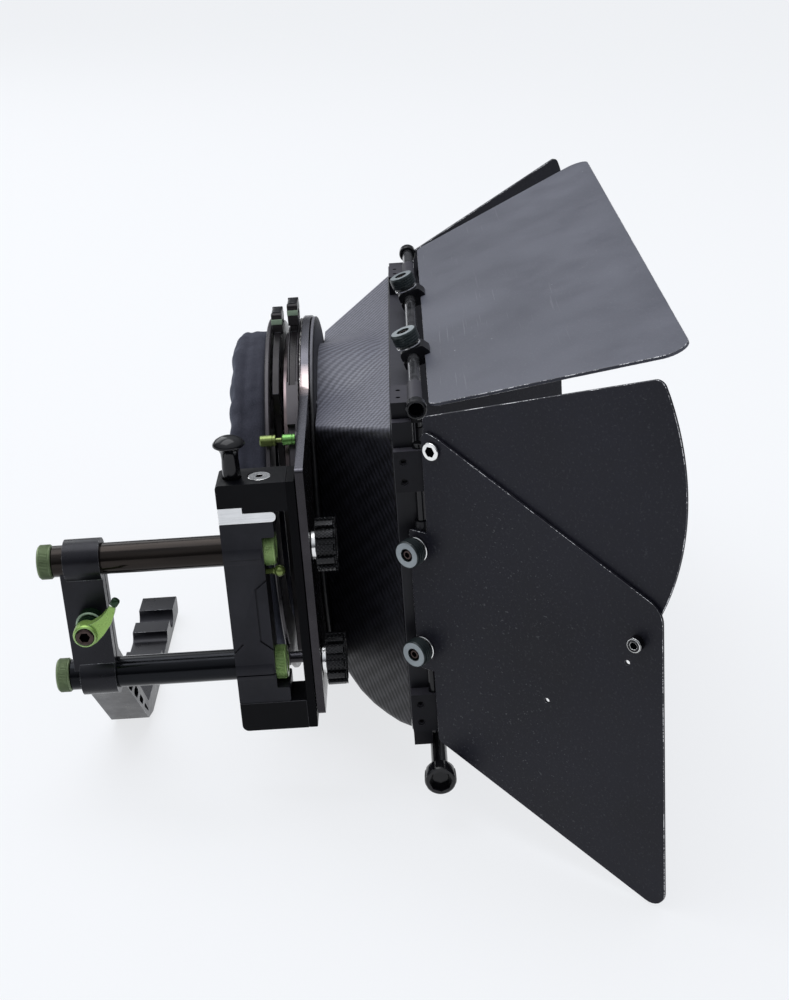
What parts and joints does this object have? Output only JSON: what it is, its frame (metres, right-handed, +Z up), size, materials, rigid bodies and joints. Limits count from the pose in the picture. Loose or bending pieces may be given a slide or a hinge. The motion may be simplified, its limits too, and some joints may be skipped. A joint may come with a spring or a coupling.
{
  "type": "matte box",
  "caption": "Swing-away camera matte box with side rod mount, turning filter stages, fabric light seal, oblong hood and hinged top and side flags.",
  "frame": {"origin": "rear face of the support arm, midway between its two camera-rod seats and half-way up the bar below them", "axes": "+X the way the lens looks, +Z up, +Y away from the side that carries the swing mount"},
  "size_m": [0.2981, 0.4604, 0.2571],
  "materials": {
    "black_anodised": "satin",
    "black_rod": "gloss",
    "green_anodised": "satin",
    "bare_metal": "brushed",
    "bronze_metal": "gloss",
    "carbon_shell": "satin",
    "flag_sheet": "satin",
    "knob_metal": "satin",
    "seal_fabric": "matte",
    "black_plastic": "satin"
  },
  "bodies": {
    "arm": {"support_arm": "black_anodised", "lever_boss": "green_anodised", "lever_bolt": "bronze_metal"},
    "lever": {"clamp_lever": "green_anodised"},
    "carriage": {"rod_upper": "black_rod", "rod_lower": "black_rod", "rod_block": "black_anodised", "pivot_screw_upper": "bare_metal", "pivot_screw_lower": "bare_metal"},
    "rod_cap_upper_rear": {"rod_cap_upper_rear": "green_anodised"},
    "rod_cap_upper_front": {"rod_cap_upper_front": "green_anodised"},
    "rod_cap_lower_rear": {"rod_cap_lower_rear": "green_anodised"},
    "rod_cap_lower_front": {"rod_cap_lower_front": "green_anodised"},
    "ball_screw": {"ball_screw": "green_anodised"},
    "swing": {"upper_knuckle": "black_anodised", "lower_knuckle": "black_anodised", "upright": "black_anodised", "wear_plate": "bare_metal", "plunger_spring": "bare_metal"},
    "plunger": {"plunger": "black_anodised"},
    "height_knob_upper": {"height_knob_upper": "black_anodised"},
    "height_knob_lower": {"height_knob_lower": "black_anodised"},
    "head": {"mounting_plate": "black_anodised", "retainer_ring": "bronze_metal", "bearing_ring": "bronze_metal", "rear_ring": "black_anodised", "light_seal": "seal_fabric", "hood": "carbon_shell", "hood_rim": "black_anodised", "top_rod": "black_anodised", "side_rod_near": "black_anodised", "side_rod_far": "black_anodised", "corner_bracket_near_upper": "black_anodised", "corner_bracket_near_lower": "black_anodised", "corner_bracket_far_upper": "black_anodised", "corner_bracket_far_lower": "black_anodised"},
    "stage_rear": {"stage_ring_rear": "black_anodised"},
    "lock_roller_rear": {"lock_roller_rear": "green_anodised"},
    "tray_rear": {"tray_rear": "black_anodised"},
    "tray_button_rear": {"tray_button_rear": "green_anodised"},
    "stage_front": {"stage_ring_front": "black_anodised"},
    "lock_roller_front": {"lock_roller_front": "green_anodised"},
    "tray_front": {"tray_front": "black_anodised"},
    "tray_button_front": {"tray_button_front": "green_anodised"},
    "bottom_rod": {"bottom_rod": "black_plastic"},
    "side_flag_near": {"side_flag_near": "flag_sheet", "pivot_bolt_near": "bare_metal", "stop_pin_near": "black_anodised"},
    "fan_near": {"fan_near": "flag_sheet"},
    "flag_knob_near_upper": {"flag_knob_near_upper": "knob_metal"},
    "flag_knob_near_lower": {"flag_knob_near_lower": "knob_metal"},
    "side_flag_far": {"side_flag_far": "flag_sheet", "pivot_bolt_far": "bare_metal", "stop_pin_far": "black_anodised"},
    "fan_far": {"fan_far": "flag_sheet"},
    "flag_knob_far_upper": {"flag_knob_far_upper": "knob_metal"},
    "flag_knob_far_lower": {"flag_knob_far_lower": "knob_metal"},
    "top_flag": {"top_flag": "flag_sheet"},
    "top_knob_near": {"top_knob_near": "knob_metal"},
    "top_knob_far": {"top_knob_far": "knob_metal"}
  },
  "joints": [
    {"name": "rod_slide", "type": "slide", "parent": "arm", "child": "carriage", "axis": [1, 0, 0], "range_m": [-0.054, 0.002]},
    {"name": "lever_turn", "type": "hinge", "parent": "arm", "child": "lever", "pos_m": [0.0118, -0.155, 0.092], "axis": [0, 1, 0], "range_deg": [-100, 60]},
    {"name": "rod_cap_upper_rear_turn", "type": "hinge", "parent": "carriage", "child": "rod_cap_upper_rear", "pos_m": [-0.009, -0.134, 0.12035], "axis": [1, 0, 0], "continuous": true},
    {"name": "rod_cap_upper_front_turn", "type": "hinge", "parent": "carriage", "child": "rod_cap_upper_front", "pos_m": [0.099, -0.134, 0.12035], "axis": [1, 0, 0], "continuous": true},
    {"name": "rod_cap_lower_rear_turn", "type": "hinge", "parent": "carriage", "child": "rod_cap_lower_rear", "pos_m": [-0.009, -0.134, 0.05965], "axis": [1, 0, 0], "continuous": true},
    {"name": "rod_cap_lower_front_turn", "type": "hinge", "parent": "carriage", "child": "rod_cap_lower_front", "pos_m": [0.099, -0.134, 0.05965], "axis": [1, 0, 0], "continuous": true},
    {"name": "ball_screw_turn", "type": "hinge", "parent": "carriage", "child": "ball_screw", "pos_m": [0.103, -0.1388, 0.1104], "axis": [1, 0, 0], "continuous": true},
    {"name": "swing_away", "type": "hinge", "parent": "carriage", "child": "swing", "pos_m": [0.098, -0.134, 0.093], "axis": [0, 0, -1], "range_deg": [0, 95]},
    {"name": "plunger_pull", "type": "slide", "parent": "swing", "child": "plunger", "axis": [0, 0, -1], "range_m": [0, 0.0042], "stiffness_N_per_m": 400, "springref_m": -0.003, "deforming": ["plunger_spring"]},
    {"name": "height_knob_upper_turn", "type": "hinge", "parent": "swing", "child": "height_knob_upper", "pos_m": [0.126, -0.134, 0.12035], "axis": [1, 0, 0], "continuous": true},
    {"name": "height_knob_lower_turn", "type": "hinge", "parent": "swing", "child": "height_knob_lower", "pos_m": [0.126, -0.134, 0.05965], "axis": [1, 0, 0], "continuous": true},
    {"name": "height_slide", "type": "slide", "parent": "swing", "child": "head", "axis": [0, 0, 1], "range_m": [-0.006, 0.006]},
    {"name": "stage_rear_turn", "type": "hinge", "parent": "head", "child": "stage_rear", "pos_m": [0.1022, 0, 0.093], "axis": [-1, 0, 0], "range_deg": [-45, 45]},
    {"name": "lock_roller_rear_turn", "type": "hinge", "parent": "stage_rear", "child": "lock_roller_rear", "pos_m": [0.1022, -0.07904, 0.15343], "axis": [1, 0, 0], "continuous": true},
    {"name": "tray_rear_lift", "type": "slide", "parent": "stage_rear", "child": "tray_rear", "axis": [0, 0, 1], "range_m": [0, 0.14]},
    {"name": "tray_button_rear_press", "type": "slide", "parent": "tray_rear", "child": "tray_button_rear", "axis": [0, 0, -1], "range_m": [0, 0.0015], "stiffness_N_per_m": 300, "springref_m": -0.002},
    {"name": "stage_front_turn", "type": "hinge", "parent": "head", "child": "stage_front", "pos_m": [0.1109, 0, 0.093], "axis": [-1, 0, 0], "range_deg": [-45, 45]},
    {"name": "lock_roller_front_turn", "type": "hinge", "parent": "stage_front", "child": "lock_roller_front", "pos_m": [0.1109, -0.07904, 0.15343], "axis": [1, 0, 0], "continuous": true},
    {"name": "tray_front_lift", "type": "slide", "parent": "stage_front", "child": "tray_front", "axis": [0, 0, 1], "range_m": [0, 0.14]},
    {"name": "tray_button_front_press", "type": "slide", "parent": "tray_front", "child": "tray_button_front", "axis": [0, 0, -1], "range_m": [0, 0.0015], "stiffness_N_per_m": 300, "springref_m": -0.002},
    {"name": "side_flag_near_swing", "type": "hinge", "parent": "head", "child": "side_flag_near", "pos_m": [0.172, -0.1422, 0.093], "axis": [0, 0, 1], "range_deg": [-22, 55]},
    {"name": "fan_near_spread", "type": "hinge", "parent": "side_flag_near", "child": "fan_near", "pos_m": [0.17998, -0.15148, 0.1712], "axis": [-0.6157, -0.788, 0], "range_deg": [-3, 10]},
    {"name": "flag_knob_near_upper_turn", "type": "hinge", "parent": "side_flag_near", "child": "flag_knob_near_upper", "pos_m": [0.16708, -0.1485, 0.1203], "axis": [-0.6157, -0.788, 0], "continuous": true},
    {"name": "flag_knob_near_lower_turn", "type": "hinge", "parent": "side_flag_near", "child": "flag_knob_near_lower", "pos_m": [0.16708, -0.1485, 0.0686], "axis": [-0.6157, -0.788, 0], "continuous": true},
    {"name": "side_flag_far_swing", "type": "hinge", "parent": "head", "child": "side_flag_far", "pos_m": [0.172, 0.1422, 0.093], "axis": [0, 0, -1], "range_deg": [-22, 55]},
    {"name": "fan_far_spread", "type": "hinge", "parent": "side_flag_far", "child": "fan_far", "pos_m": [0.17998, 0.15148, 0.1712], "axis": [0.6157, -0.788, 0], "range_deg": [-3, 10]},
    {"name": "flag_knob_far_upper_turn", "type": "hinge", "parent": "side_flag_far", "child": "flag_knob_far_upper", "pos_m": [0.16708, 0.1485, 0.1203], "axis": [-0.6157, 0.788, 0], "continuous": true},
    {"name": "flag_knob_far_lower_turn", "type": "hinge", "parent": "side_flag_far", "child": "flag_knob_far_lower", "pos_m": [0.16708, 0.1485, 0.0686], "axis": [-0.6157, 0.788, 0], "continuous": true},
    {"name": "top_flag_tilt", "type": "hinge", "parent": "head", "child": "top_flag", "pos_m": [0.1726, 0, 0.1871], "axis": [0, -1, 0], "range_deg": [-55, 70]},
    {"name": "top_knob_near_turn", "type": "hinge", "parent": "top_flag", "child": "top_knob_near", "pos_m": [0.16973, -0.062, 0.19563], "axis": [-0.319, 0, 0.9478], "continuous": true},
    {"name": "top_knob_far_turn", "type": "hinge", "parent": "top_flag", "child": "top_knob_far", "pos_m": [0.16973, 0.042, 0.19563], "axis": [-0.319, 0, 0.9478], "continuous": true},
    {"name": "bottom_rod_turn", "type": "hinge", "parent": "head", "child": "bottom_rod", "pos_m": [0.1726, 0, 0.0069], "axis": [0, 1, 0], "continuous": true}
  ]
}
